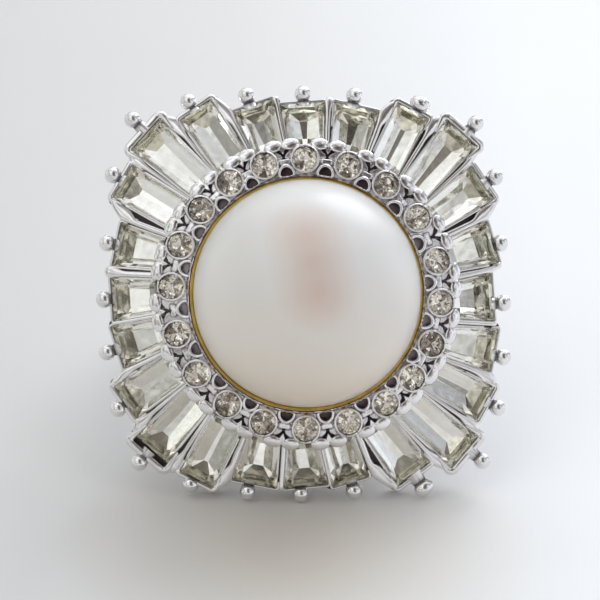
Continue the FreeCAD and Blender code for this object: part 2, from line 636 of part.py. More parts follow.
adds, cuts = [], []
count = len(SEATS)
for k in range(count):
    here, after = dim("seat%02d_bearing" % (k + 1)), dim("seat%02d_bearing" % ((k + 1) % count + 1))
    if after < here:
        after += 360
    place = seat_place(here)
    boss = Part.makeCylinder(dim("seat_outer"), 0.95, Vector(0, 0, -0.95))
    boss.Placement = place
    adds.append(boss)
    bore = Part.makeCylinder(dim("seat_bore"), dim("seat_ledge_depth") + 1, Vector(0, 0, -dim("seat_ledge_depth")))
    hole = Part.makeCylinder(dim("seat_ledge_bore"), 3.0, Vector(0, 0, -2.6))
    for tool in (bore, hole):
        tool.Placement = place
        cuts.append(tool)
    mid = (here + after) / 2
    half = dim("pad_half_angle") * (after - here) / 18.0
    # two rounded pads on the outer edge, one each side of the gap between the seats
    for sign in (-1, 1):
        c = polar(dim("pad_pitch_radius"), mid + sign * half, dim("pad_height"))
        t = polar(1, mid + sign * half + 90)
        h = dim("pad_length") / 2
        adds.append(Part.makeSphere(dim("pad_radius"), c - t * h))
        adds.append(Part.makeSphere(dim("pad_radius"), c + t * h))
        adds.append(Part.makeCylinder(dim("pad_radius"), 2 * h, c - t * h, t))
    # round-nosed recess towards the pearl, with a raised lip
    nose = polar(8.78, mid)
    t, r = polar(1, mid + 90), polar(1, mid)
    for size, low_z, high_z, to in ((0.50, 16.1, collar_z(8.78) + 0.14, adds), (0.37, collar_z(8.78) - 0.45, 18.0, cuts)):
        disc = Part.makeCylinder(size, high_z - low_z, Vector(nose.x, nose.y, low_z))
        a = nose - r * (0.52 if to is adds else 0.36)
        flare = prism([nose - t * size, a - t * size, a + t * size, nose + t * size], low_z, high_z)
        to.append(disc)
        to.append(flare)
    # dark triangle between the seats towards the outer edge
    tip, foot = polar(9.72, mid), polar(10.3, mid)
    cuts.append(prism([tip - t * 0.12, foot - t * 0.42, foot + t * 0.42, tip + t * 0.12], collar_z(10.0) - 0.5, 18.0))

solid = ring.multiFuse(adds)
inside = Part.makeCylinder(ki, 4, Vector(0, 0, fh - 0.5))
solid = solid.cut(cuts + [inside])
solid = solid.removeSplitter()
if solid.ShapeType == "Compound":
    solid = max(solid.Solids, key=lambda q: q.Volume)
collar = doc.addObject("Part::Feature", "halo_collar")
collar.Label = "halo_collar"
collar.Shape = solid
collar.Placement = Placement()
doc.recompute()

# ---------------------------------------------------------------- the way the ring lies
# Everything above is laid out about the finger bore with the head straight up. The ring can't stand
# like that, so the assembly is laid down on the lowest ball pins and the edge of the band: it tips
# forward about X, and the origin moves to the surface under the middle of the ring.
NODES = [shank, basket, frame, pin_group, collar, cup, cement, pearl] + baguettes + rounds
LIE = Placement(Vector(dim("lie_x"), dim("lie_y"), dim("lie_z")), Rotation(Vector(1, 0, 0), dim("lie_angle")))
for obj in NODES:
    obj.Placement = LIE * obj.Placement
doc.recompute()
bore_centre = LIE.multVec(Vector(0, 0, 0))
bore_axis = LIE.Rotation.multVec(Vector(0, 1, 0))
print("bore centre %.4f %.4f %.4f axis %.6f %.6f %.6f" % (*bore_centre, *bore_axis))

# ---------------------------------------------------------------- checks and files
for obj in doc.Objects:
    assert "Invalid" not in obj.State and "Error" not in obj.State, (obj.Name, obj.State)
for obj in NODES:
    shape = obj.Shape
    assert not shape.isNull() and shape.isValid(), obj.Label
    expected = 24 if obj is pin_group else 1
    assert len(shape.Solids) == expected, (obj.Label, len(shape.Solids))
    assert shape.Volume > 0, obj.Label
assert len({obj.Label for obj in NODES}) == len(NODES) <= 60
for obj in NODES:
    obj.Shape.exportStep("parts/%s.step" % obj.Label)
print(len(NODES), "nodes")
for obj in NODES[:8] + NODES[8:10] + NODES[-1:]:
    box = obj.Shape.BoundBox
    print("%-16s volume %8.3f  x %.2f %.2f  y %.2f %.2f  z %.2f %.2f" % (obj.Label, obj.Shape.Volume, box.XMin, box.XMax, box.YMin, box.YMax, box.ZMin, box.ZMax))
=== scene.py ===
import json
import math

import bmesh
import bpy
import numpy as np
from mathutils import Matrix, Vector


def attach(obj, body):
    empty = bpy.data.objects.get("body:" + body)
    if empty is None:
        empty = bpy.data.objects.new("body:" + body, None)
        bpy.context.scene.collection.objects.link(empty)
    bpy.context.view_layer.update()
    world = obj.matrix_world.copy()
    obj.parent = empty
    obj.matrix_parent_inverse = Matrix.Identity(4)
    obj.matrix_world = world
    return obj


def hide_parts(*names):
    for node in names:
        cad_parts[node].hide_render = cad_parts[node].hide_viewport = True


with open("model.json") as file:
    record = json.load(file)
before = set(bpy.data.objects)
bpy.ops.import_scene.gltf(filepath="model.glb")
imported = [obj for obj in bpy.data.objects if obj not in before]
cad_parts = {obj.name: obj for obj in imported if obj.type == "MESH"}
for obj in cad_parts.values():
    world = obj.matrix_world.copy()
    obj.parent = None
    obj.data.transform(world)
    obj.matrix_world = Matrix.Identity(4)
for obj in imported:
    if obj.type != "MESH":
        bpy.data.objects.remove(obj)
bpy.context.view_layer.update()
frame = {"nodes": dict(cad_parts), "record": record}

SC = bpy.context.scene

# ------------------------------------------------------------------ the head's own axes
# The finger bore carries the ring's natural frame: its middle is the origin, its axis is the head's
# "up", and the head faces square to it. Head coordinates below are in millimetres.
BORE = next(m for m in frame["record"]["mounts"] if m["name"] == "finger_bore")
YH = Vector(BORE["axis"]).normalized()
XH = Vector((1.0, 0.0, 0.0))
ZH = XH.cross(YH).normalized()
MM = 0.001
HEAD = Matrix((XH * MM, YH * MM, ZH * MM)).transposed().to_4x4()
HEAD.translation = Vector(BORE["pos_m"])
HEAD_NP = np.array(HEAD)


def to_world(v):
    v = np.asarray(v, float)
    return v @ HEAD_NP[:3, :3].T + HEAD_NP[:3, 3]


def wave(x, y, z=0.0, seed=0.0):
    """Smooth repeatable unevenness, about -1 to 1."""
    return (np.sin(1.7 * x + 2.3 * y + 0.9 * z + seed) + np.sin(2.9 * y - 1.3 * x + 1.9 * z + 2.1 * seed)
            + np.sin(3.7 * z + 2.2 * x - 0.8 * y + 0.7 * seed)) / 3.0


def unit_noise(k, j=0):
    """A repeatable number from -1 to 1 for stone k, quantity j."""
    s = math.sin(12.9898 * (k + 1) + 78.233 * (j + 1)) * 43758.5453
    return 2.0 * (s - math.floor(s)) - 1.0


# ------------------------------------------------------------------ materials
def new_material(name):
    m = bpy.data.materials.new(name)
    m.use_nodes = True
    nt = m.node_tree
    nt.nodes.clear()
    out = nt.nodes.new("ShaderNodeOutputMaterial")
    bsdf = nt.nodes.new("ShaderNodeBsdfPrincipled")
    nt.links.new(bsdf.outputs[0], out.inputs[0])
    return m, nt, bsdf, out


def coords(nt, scale=1000.0):
    """Object coordinates in millimetres."""
    tc = nt.nodes.new("ShaderNodeTexCoord")
    mp = nt.nodes.new("ShaderNodeMapping")
    mp.inputs["Scale"].default_value = (scale, scale, scale)
    nt.links.new(tc.outputs["Object"], mp.inputs["Vector"])
    return mp.outputs["Vector"]


def noise(nt, vec, scale, detail=3.0, rough=0.5):
    n = nt.nodes.new("ShaderNodeTexNoise")
    n.inputs["Scale"].default_value = scale
    n.inputs["Detail"].default_value = detail
    n.inputs["Roughness"].default_value = rough
    nt.links.new(vec, n.inputs["Vector"])
    return n.outputs["Fac"]


def along(nt, vec, axis):
    """Distance along an axis, from object coordinates."""
    d = nt.nodes.new("ShaderNodeVectorMath")
    d.operation = "DOT_PRODUCT"
    nt.links.new(vec, d.inputs[0])
    d.inputs[1].default_value = axis
    return d.outputs["Value"]


def ramp(nt, fac, stops):
    r = nt.nodes.new("ShaderNodeValToRGB")
    e = r.color_ramp.elements
    while len(e) < len(stops):
        e.new(0.5)
    for el, (p, c) in zip(e, stops):
        el.position = p
        el.color = (*c, 1.0) if len(c) == 3 else c
    nt.links.new(fac, r.inputs["Fac"])
    return r.outputs["Color"]


def remap(nt, fac, a, b, c, d):
    r = nt.nodes.new("ShaderNodeMapRange")
    for k, v in zip(("From Min", "From Max", "To Min", "To Max"), (a, b, c, d)):
        r.inputs[k].default_value = v
    nt.links.new(fac, r.inputs["Value"])
    return r.outputs["Result"]


def bump(nt, bsdf, height, strength, distance):
    b = nt.nodes.new("ShaderNodeBump")
    b.inputs["Strength"].default_value = strength
    b.inputs["Distance"].default_value = distance
    nt.links.new(height, b.inputs["Height"])
    nt.links.new(b.outputs["Normal"], bsdf.inputs["Normal"])
    return b


def metal(name, dark, light, rough_low, rough_high, bump_mm, grain=2.2, recess_tarnish_and_painted_shade=None):
    m, nt, bsdf, _ = new_material(name)
    vec = coords(nt)
    tone = noise(nt, vec, 0.9, 4.0, 0.6)
    nt.links.new(ramp(nt, tone, [(0.3, dark), (0.7, light)]), bsdf.inputs["Base Color"])
    bsdf.inputs["Metallic"].default_value = 1.0
    fine = noise(nt, vec, grain, 5.0, 0.62)
    nt.links.new(remap(nt, fine, 0.35, 0.68, rough_low, rough_high), bsdf.inputs["Roughness"])
    bump(nt, bsdf, fine, 1.0, bump_mm * MM)
    if recess_tarnish_and_painted_shade:                    # tarnish and painted shade in the recesses, from the mesh's "hollow" attribute
        at = nt.nodes.new("ShaderNodeAttribute")
        at.attribute_name = "hollow"
        for socket, value in (("Base Color", (*recess_tarnish_and_painted_shade, 1.0)), ("Roughness", (0.36,) * 3 + (1.0,))):
            mx = nt.nodes.new("ShaderNodeMix")
            mx.data_type = "RGBA"
            was = bsdf.inputs[socket].links[0].from_socket
            nt.links.new(at.outputs["Fac"], mx.inputs["Factor"])
            nt.links.new(was, mx.inputs[6])
            mx.inputs[7].default_value = value
            nt.links.new(mx.outputs[2], bsdf.inputs[socket])
    return m


# the last colour of the next two metals is tarnish with painted shade, laid into their recesses
SILVER = metal("silver_tone_metal", (0.75, 0.73, 0.73), (0.86, 0.85, 0.86), 0.05, 0.15, 0.006, 2.2, (0.055, 0.047, 0.045))
SILVER_CAST = metal("silver_tone_cast", (0.76, 0.73, 0.74), (0.89, 0.88, 0.89), 0.06, 0.17, 0.010, 2.6, (0.085, 0.058, 0.064))
SILVER_BAND = metal("silver_tone_band", (0.775, 0.76, 0.76), (0.83, 0.82, 0.825), 0.07, 0.17, 0.0012, 7.0)
GOLD = metal("gold_tone_metal", (0.56, 0.40, 0.10), (0.80, 0.61, 0.21), 0.12, 0.26, 0.006, 3.0)


def glass_material(name, tint):
    m, nt, bsdf, _ = new_material(name)
    vec = coords(nt)
    haze = noise(nt, vec, 1.6, 4.0, 0.6)
    nt.links.new(ramp(nt, haze, [(0.3, tint), (0.75, tuple(min(1.0, c * 1.02) for c in tint))]), bsdf.inputs["Base Color"])
    bsdf.inputs["Transmission Weight"].default_value = 1.0
    bsdf.inputs["IOR"].default_value = 1.53
    nt.links.new(remap(nt, haze, 0.45, 0.8, 0.0, 0.03), bsdf.inputs["Roughness"])
    return m


def foil_material(name, clean, worn, rough, amount, uneven=0.02):
    """Silvered back of a glass stone, seen from inside: bright, patchy, browner where it has aged."""
    m, nt, bsdf, _ = new_material(name)
    vec = coords(nt)
    patch = noise(nt, vec, 1.1, 5.0, 0.65)
    nt.links.new(ramp(nt, patch, [(0.5 - amount, worn), (0.5 + amount * 0.4, clean)]), bsdf.inputs["Base Color"])
    bsdf.inputs["Metallic"].default_value = 1.0
    nt.links.new(remap(nt, noise(nt, vec, 4.0, 3.0), 0.3, 0.7, rough * 0.6, rough * 1.4), bsdf.inputs["Roughness"])
    bump(nt, bsdf, noise(nt, vec, 0.9, 1.0), 1.0, uneven * MM)
    return m


GLASS = glass_material("clear_glass", (0.985, 0.985, 0.97))
GLASS_ROUND = glass_material("clear_glass_round", (0.995, 0.985, 0.97))
FOIL = foil_material("foil_back", (0.98, 0.975, 0.95), (0.90, 0.89, 0.84), 0.09, 0.22, 0.012)
FOIL_END = foil_material("foil_back_end", (0.80, 0.78, 0.66), (0.42, 0.40, 0.29), 0.07, 0.25, 0.030)
FOIL_CORNER = foil_material("foil_back_corner", (0.93, 0.90, 0.85), (0.66, 0.60, 0.53), 0.05, 0.25, 0.030)
FOIL_ROUND = foil_material("foil_back_round", (1.0, 0.985, 0.94), (0.88, 0.84, 0.76), 0.0, 0.2, 0.0)
# dark foil that paints dark reflections on some back facets of the round stones
FOIL_PAINTED_DARK = foil_material("foil_back_painted_dark", (0.40, 0.35, 0.30), (0.22, 0.185, 0.16), 0.0, 0.2, 0.0)

PEARL, nt, bsdf, _ = new_material("pearl_coating")
vec = coords(nt)
cloud = noise(nt, vec, 0.12, 2.0, 0.5)
body = ramp(nt, cloud, [(0.25, (0.83, 0.82, 0.80)), (0.5, (0.855, 0.84, 0.82)), (0.75, (0.83, 0.835, 0.82))])
# painted reflections on the nacre: cream towards the dome's lower side, reflected light of the warm floor,
# and rosy-brown patches down its crown, a painted reflection of the dark room behind the camera
middle = (HEAD @ Vector((0, 0, 0))).dot(YH) * 1000.0
lie = remap(nt, along(nt, vec, tuple(YH)), middle - 8.0, middle + 8.0, 0.0, 1.0)
painted_floor_reflection = ramp(nt, lie, [(0.0, (1.0, 0.90, 0.775)), (0.30, (1.0, 0.955, 0.905)), (0.62, (0.985, 0.99, 1.0))])
room_reflection_spots = []
for place_ in ((-0.40, 4.1, 22.3), (0.05, 2.3, 22.8), (0.40, 0.3, 23.0)):
    far = nt.nodes.new("ShaderNodeVectorMath")
    far.operation = "DISTANCE"
    nt.links.new(vec, far.inputs[0])
    far.inputs[1].default_value = tuple((HEAD @ Vector(place_)) * 1000.0)
    room_reflection_spots.append(far.outputs["Value"])
nearest = room_reflection_spots[0]
for painted_shadow_distance in room_reflection_spots[1:]:
    blend = nt.nodes.new("ShaderNodeMath")
    blend.operation = "SMOOTH_MIN"
    nt.links.new(nearest, blend.inputs[0])
    nt.links.new(painted_shadow_distance, blend.inputs[1])
    blend.inputs[2].default_value = 1.2
    nearest = blend.outputs[0]
painted_room_reflection = ramp(nt, remap(nt, nearest, 0.0, 3.1, 0.0, 1.0), [(0.0, (0.93, 0.77, 0.70)), (0.40, (0.955, 0.85, 0.80)), (1.0, (1.0, 1.0, 1.0))])
for tint in (painted_floor_reflection, painted_room_reflection):
    mul = nt.nodes.new("ShaderNodeMix")
    mul.data_type, mul.blend_type = "RGBA", "MULTIPLY"
    mul.inputs["Factor"].default_value = 1.0
    nt.links.new(body, mul.inputs[6])
    nt.links.new(tint, mul.inputs[7])
    body = mul.outputs[2]
nt.links.new(body, bsdf.inputs["Base Color"])
bsdf.inputs["IOR"].default_value = 1.66
bsdf.inputs["Coat Weight"].default_value = 0.45
bsdf.inputs["Coat Roughness"].default_value = 0.31
bsdf.inputs["Coat IOR"].default_value = 1.6
bsdf.inputs["Coat Tint"].default_value = (1.0, 0.985, 0.965, 1.0)
bsdf.inputs["Subsurface Weight"].default_value = 0.12
bsdf.inputs["Subsurface Radius"].default_value = (0.0012, 0.0009, 0.0007)
bsdf.inputs["Sheen Weight"].default_value = 0.1
bsdf.inputs["Roughness"].default_value = 0.33
bump(nt, bsdf, noise(nt, vec, 0.9, 2.0), 0.3, 0.006 * MM)

CEMENT, nt, bsdf, _ = new_material("cement")
vec = coords(nt)
grains = noise(nt, vec, 5.0, 6.0, 0.7)
nt.links.new(ramp(nt, grains, [(0.3, (0.62, 0.59, 0.52)), (0.7, (0.80, 0.78, 0.72))]), bsdf.inputs["Base Color"])
bsdf.inputs["Roughness"].default_value = 0.8
bump(nt, bsdf, grains, 0.8, 0.05 * MM)


# ------------------------------------------------------------------ mesh helpers
def make(name, verts, faces, mats, index=None, smooth=None, replaces=(), local=None):
    """Mesh piece from head coordinates in millimetres. smooth: None flat, else the crease angle in degrees."""
    me = bpy.data.meshes.new(name)
    me.from_pydata(to_world(verts).tolist(), [], [tuple(int(i) for i in f) for f in faces])
    for m in mats:
        me.materials.append(m)
    if index is not None:
        me.polygons.foreach_set("material_index", np.asarray(index, np.int32))
    me.update()
    ob = bpy.data.objects.new(name, me)
    SC.collection.objects.link(ob)
    if smooth is not None:
        me.polygons.foreach_set("use_smooth", np.ones(len(me.polygons), bool))
        if smooth < 180:
            me.set_sharp_from_angle(angle=math.radians(smooth))
    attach(ob, "root")
    if replaces:
        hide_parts(*replaces)
    return ob


def shade_hollows(ob, values):
    at = ob.data.attributes.new("hollow", "FLOAT", "POINT")
    at.data.foreach_set("value", np.clip(np.asarray(values, np.float32), 0, 1))


def lathe(profile, steps):
    """Closed solid of revolution about the head's Z from (radius, z) points; radius 0 ends make poles."""
    verts, faces, rings = [], [], []
    for r, z in profile:
        if r < 1e-6:
            rings.append([len(verts)])
            verts.append((0, 0, z))
        else:
            rings.append(list(range(len(verts), len(verts) + steps)))
            verts += [(r * math.cos(2 * math.pi * i / steps), r * math.sin(2 * math.pi * i / steps), z) for i in range(steps)]
    closed = profile[0][0] > 1e-6 and profile[-1][0] > 1e-6
    pairs = list(zip(rings[:-1], rings[1:])) + ([(rings[-1], rings[0])] if closed else [])
    for a, b in pairs:
        for i in range(steps):
            j = (i + 1) % steps
            if len(a) == 1:
                faces.append((a[0], b[i], b[j]))
            elif len(b) == 1:
                faces.append((a[i], b[0], a[j]))
            else:
                faces.append((a[i], b[i], b[j], a[j]))
    return verts, faces


def outward(ob):
    bm = bmesh.new()
    bm.from_mesh(ob.data)
    bmesh.ops.recalc_face_normals(bm, faces=bm.faces)
    bm.to_mesh(ob.data)
    bm.free()


# ------------------------------------------------------------------ sizes of the head, millimetres and degrees
TILT = math.radians(13.0)


def girdle_z(r):
    return 15.0 - math.tan(TILT) * (r - 11.0)


def cone_z(r, above):
    return girdle_z(r) + above / math.cos(TILT)


STONES = [
    # name, end radius, end bearing, heading, plan length, outer width, inner width, pin reach, pin side
    ("000", 13.24, -1.0, 4.0, 2.86, 3.30, 2.51, 0.73, -0.48),
    ("015", 13.77, 15.3, 17.2, 3.38, 3.00, 2.16, 0.45, -0.23),
    ("030", 14.80, 31.8, 34.5, 4.40, 2.83, 2.04, 0.93, -0.17),
    ("045", 15.81, 45.4, 48.7, 5.42, 2.80, 2.13, 1.20, -0.30),
    ("060", 14.94, 59.1, 62.3, 4.55, 2.43, 2.20, 0.66, -0.23),
    ("075", 13.62, 74.2, 77.1, 3.22, 3.17, 2.37, 0.71, 0.33),
    ("090", 13.33, 90.6, 93.9, 2.94, 3.12, 2.55, 0.67, -0.09),
    ("105", 13.69, 105.3, 109.0, 3.30, 2.92, 2.10, 0.77, 0.19),
    ("120", 14.96, 120.6, 124.1, 4.57, 2.59, 2.41, 0.75, 0.09),
    ("135", 15.73, 134.8, 137.8, 5.34, 2.92, 2.16, 1.38, -0.15),
    ("150", 14.96, 148.2, 149.1, 4.56, 2.64, 2.38, 0.79, -0.03),
    ("165", 13.57, 165.2, 168.1, 3.18, 3.08, 2.19, 0.67, 0.06),
    ("180", 13.45, 181.6, 183.9, 3.05, 3.00, 2.37, 0.56, -0.02),
    ("195", 13.60, 196.0, 197.6, 3.20, 3.02, 2.18, 0.80, 0.11),
    ("210", 14.65, 211.3, 215.2, 4.26, 2.68, 2.41, 0.66, 0.06),
    ("225", 15.26, 225.7, 228.9, 4.87, 2.78, 2.23, 1.28, -0.08),
    ("240", 15.03, 239.9, 242.8, 4.64, 2.56, 2.34, 0.53, -0.21),
    ("255", 13.78, 255.3, 258.8, 3.39, 3.17, 2.27, 0.64, -0.36),
    ("270", 13.52, 270.6, 275.5, 3.14, 3.09, 2.17, 0.48, -0.43),
    ("285", 13.61, 284.0, 287.1, 3.22, 2.63, 2.25, 0.68, 0.01),
    ("300", 14.86, 301.3, 307.2, 4.49, 2.79, 2.25, 1.21, 0.01),
    ("315", 15.88, 315.4, 319.6, 5.50, 2.80, 2.37, 1.38, 0.34),
    ("330", 14.94, 328.8, 331.1, 4.54, 2.57, 2.24, 0.91, 0.16),
    ("345", 13.96, 343.4, 349.4, 3.58, 3.02, 2.08, 0.70, -0.35),
]
SEATS = [90.5, 108.1, 124.5, 141.4, 158.8, 176.8, 197.1, 215.9, 234.4, 251.4, 269.9, 288.2, 306.1, 321.7, 338.3, 356.4, 374.1, 394.4, 413.8, 431.8]


def rim_reach(name):
    if name in ("045", "135", "225", "315"):
        return 0.45
    return 0.25 if name in ("030", "060", "120", "150", "210", "240", "300", "330") else 0.14


def rot_z(degrees):
    return Matrix.Rotation(math.radians(degrees), 4, "Z")


def rot_y(degrees):
    return Matrix.Rotation(math.radians(degrees), 4, "Y")


def place(matrix, points):
    m = np.array(matrix)
    return np.asarray(points, float) @ m[:3, :3].T + m[:3, 3]


# ------------------------------------------------------------------ tapered baguettes
# Step-cut glass: flat table, one bevel all round, thin girdle, and a silvered back that comes down in a
# steep step and then a shallow hip roof to a thin keel. The ends of the back carry browner, darker foil.
for k, (name, rad, bearing, heading, plan, wo, wi, reach, side) in enumerate(STONES):
    u = np.array([math.cos(math.radians(heading)), math.sin(math.radians(heading)), 0.0])
    end = np.array([rad * math.cos(math.radians(bearing)), rad * math.sin(math.radians(bearing)), 0.0])
    inner = end - u * plan
    turn = rot_z(heading) @ rot_y(13.0)
    at = Matrix.Translation((inner[0], inner[1], girdle_z(math.hypot(inner[0], inner[1])))) @ turn
    L = plan / math.cos(TILT)
    grow = (wo - wi) / L
    lean = math.cos(math.atan(grow / 2))
    s = 0.02 * unit_noise(k)
    # height, inset of the long sides, inset of the inner end, inset of the outer end, cut of the outer corners
    short = plan < 3.7
    keel = (min(wo, wi) / 2 - 0.10) * (1.0 if 30 < float(name) < 150 or 200 < float(name) < 345 or not short else 0.66)
    lift = 0.30 if short else 0.24
    rows = [(0.45, 0.42 + s, 0.34, 0.40 + s, 0.0), (0.0, 0.0, 0.0, 0.0, 0.0), (-0.12, 0.0, 0.0, 0.0, 0.0),
            (-0.62, 0.26 + s, 0.24, 0.62, 0.30), (-0.62 - lift, keel, 0.45, (1.20 if short else 1.42) + 5 * s, 0.02)]
    verts, faces, index, rings = [], [], [], []
    for z, d, e0, e1, c in rows:
        w0, w1 = wi + grow * e0 - 2 * d / lean, wo - grow * e1 - 2 * d / lean
        x1 = L - e1
        pts = [(e0, -w0 / 2, z), (x1 - c, -w1 / 2, z), (x1, -w1 / 2 + c * 1.1, z), (x1, w1 / 2 - c * 1.1, z), (x1 - c, w1 / 2, z), (e0, w0 / 2, z)]
        if c == 0.0:
            pts = [pts[0], pts[1], pts[3], pts[5]]
        ring = []
        for p in pts:
            ring.append(len(verts))
            verts.append(p)
        rings.append(ring if c else [ring[0], ring[1], ring[1], ring[2], ring[2], ring[3]])
    faces.append([i for n, i in enumerate(rings[0]) if n in (0, 1, 3, 5)]); index.append(0)
    for j in range(len(rows) - 1):
        for q in range(6):
            a, b = rings[j], rings[j + 1]
            loop = [a[q], b[q], b[(q + 1) % 6], a[(q + 1) % 6]]
            loop = [v for n, v in enumerate(loop) if v not in loop[:n]]
            if len(loop) < 3:
                continue
            faces.append(loop)
            index.append(0 if j < 2 else (1, 3, 2, 3, 1, 1)[q])
    faces.append(rings[-1][::-1]); index.append(1)
    ob = make("stone_" + name, place(at, verts), faces, [GLASS, FOIL, FOIL_END, FOIL_CORNER], index, None, ["baguette_" + name])
    outward(ob)

# ------------------------------------------------------------------ round stones
def brilliant(radius, table, crown, girdle, depth, sink, drift, painted_dark):
    """Round stone about Z, its girdle's upper edge at -sink: 8-fold crown over a faceted silvered back, its foil
    painted dark on the facets the last argument picks, as painted dark reflections.
    """
    v, f, m = [], [], []
    zt, zg, zl, zc = crown - sink, -sink, -sink - girdle, -sink - depth
    ring = lambda n, r, z, off: [(r * math.cos(2 * math.pi * (i + off) / n), r * math.sin(2 * math.pi * (i + off) / n), z) for i in range(n)]
    T = 0; v += ring(8, table, zt, 0.0)                       # table corners
    K = len(v); v += ring(8, radius * 0.80, zg + (zt - zg) * 0.54, 0.5)   # kite corners
    G = len(v); v += ring(32, radius, zg, 0.0)                # girdle, upper
    H = len(v); v += ring(32, radius, zl, 0.0)                # girdle, lower
    P = len(v)                                                # pavilion corners, in and out by turns
    v += [(x, y, z + (0.04 if i % 2 else -0.03)) for i, (x, y, z) in enumerate(ring(8, radius * 0.44, zl - (zl - zc) * 0.60, 0.0))]
    C = len(v); v.append((drift[0], drift[1], zc))
    f.append(tuple(range(8))); m.append(0)
    for i in range(8):
        j = (i + 1) % 8
        f.append((T + i, K + i, T + j)); m.append(0)          # star
        g0, gm, g1 = 4 * i, 4 * i + 2, 4 * j                  # girdle under table corner, mid, next corner
        f.append((T + i, K + (i - 1) % 8, G + g0, K + i)); m.append(0)  # bezel kite
        f.append((K + i, G + g0, G + g0 + 1, G + gm)); m.append(0)
        f.append((K + i, G + gm, G + gm + 1, G + g1)); m.append(0)
        f.append((H + g0, P + i, H + gm, H + g0 + 1)); m.append(1 + painted_dark(i, 0))
        f.append((H + gm, P + j, H + g1, H + gm + 1)); m.append(1 + painted_dark(i, 1))
        f.append((H + gm, P + i, C, P + j)); m.append(1 + painted_dark(i, 2))
    for i in range(32):
        j = (i + 1) % 32
        f.append((G + i, H + i, H + j, G + j)); m.append(0)
    return v, f, m


for k, bearing in enumerate(SEATS):
    # painted dark reflections: about a third of the back facets, picked at random, get the dark foil
    v, f, m = brilliant(0.85, 0.57, 0.24, 0.07, 0.60, 0.09, (0.05 * unit_noise(k, 11), 0.05 * unit_noise(k, 12)),
                        lambda i, j: 1 if unit_noise(31 * k + i, 13 + j) > 0.30 else 0)
    a = math.radians(bearing)
    wobble = rot_z(180 * unit_noise(k, 8)) @ rot_y(5.0 * unit_noise(k, 3)) @ rot_z(22.5 * unit_noise(k, 4))
    at = Matrix.Translation((9.43 * math.cos(a), 9.43 * math.sin(a), 16.84)) @ rot_z(bearing) @ rot_y(14.0) @ wobble
    ob = make("brilliant_%02d" % (k + 1), place(at, v), f, [GLASS_ROUND, FOIL_ROUND, FOIL_PAINTED_DARK], m, None, ["round_stone_%02d" % (k + 1)])
    outward(ob)

# ------------------------------------------------------------------ halo collar
# One casting: 20 raised seats, between them a lipped recess towards the pearl and a forked hollow
# towards the skirt, painted dark with shade, and a scalloped edge of 40 smooth pads. Its top is a polar height field.
NT, NR = 1300, 66
RI, RO, ZI, ZE = 8.17, 10.55, 16.95, 16.27


def smax(a, b, k):
    h = np.clip(0.5 + 0.5 * (a - b) / k, 0, 1)
    return b * (1 - h) + a * h + k * h * (1 - h)


def smin(a, b, k):
    return -smax(-a, -b, k)


def step(x, a, b):
    t = np.clip((x - a) / (b - a), 0, 1)
    return t * t * (3 - 2 * t)


theta = np.arange(NT) * 2 * np.pi / NT
mids, gaps = [], []
for k in range(20):
    here, after = SEATS[k], SEATS[(k + 1) % 20]
    if after < here:
        after += 360
    mids.append(math.radians((here + after) / 2))
    gaps.append((after - here) / 18.0)
pads = [(mids[k] + sg * math.radians(3.4) * gaps[k], k, sg) for k in range(20) for sg in (-1, 1)]


def wrap(a):
    return (a + np.pi) % (2 * np.pi) - np.pi


# scalloped outer edge
r_out = np.full(NT, 10.42)
for n, (c, k, sg) in enumerate(pads):
    s = wrap(theta - c) * 10.5 / (0.65 + 0.02 * unit_noise(n, 5))
    e = 10.5 + 0.43 * np.sqrt(np.clip(1 - s * s, 0, 1))
    r_out = np.where(np.abs(s) < 1, np.maximum(r_out, e), r_out)
t = np.linspace(0, 1, NR)
R = RI + (r_out[:, None] - RI) * t[None, :]
T = np.repeat(theta[:, None], NR, 1)
X, Y = R * np.cos(T), R * np.sin(T)
base = ZI + (ZE - ZI) * (R - RI) / (RO - RI)
Z = base - 0.22 * step(R, 8.24, 8.36) + 0.012 * wave(X * 1.3, Y * 1.3, 0, 1.0)
# smooth border along the pearl
Z = Z - 0.10 * (1 - step(R, RI, RI + 0.07)) ** 2
seat_rim = np.full_like(Z, -9.0)
bowl = np.full_like(Z, 99.0)
for k, bearing in enumerate(SEATS):
    a = math.radians(bearing)
    cx, cy = 9.43 * math.cos(a), 9.43 * math.sin(a)
    near = (np.abs(wrap(T - a)) < 0.16)
    d = np.hypot(X - cx, Y - cy)
    q = (X - cx) * math.cos(a) + (Y - cy) * math.sin(a)
    tall = 16.84 - math.tan(math.radians(14)) * q
    crest = tall + 0.012 * unit_noise(k, 6) - np.abs((d - 0.935) / 0.085) ** 3 * 0.08 - step(d, 1.02, 1.12) * 2.0
    seat_rim = np.where(near, np.maximum(seat_rim, crest), seat_rim)
    cup = tall - 0.30 - 0.78 * (1 - d / 0.87) + step(d, 0.845, 0.89) * 3.0
    bowl = np.where(near & (d < 0.92), np.minimum(bowl, cup), bowl)
hollow = np.full_like(Z, 99.0)
ridge = np.full_like(Z, -9.0)
forks = np.full_like(Z, -9.0)
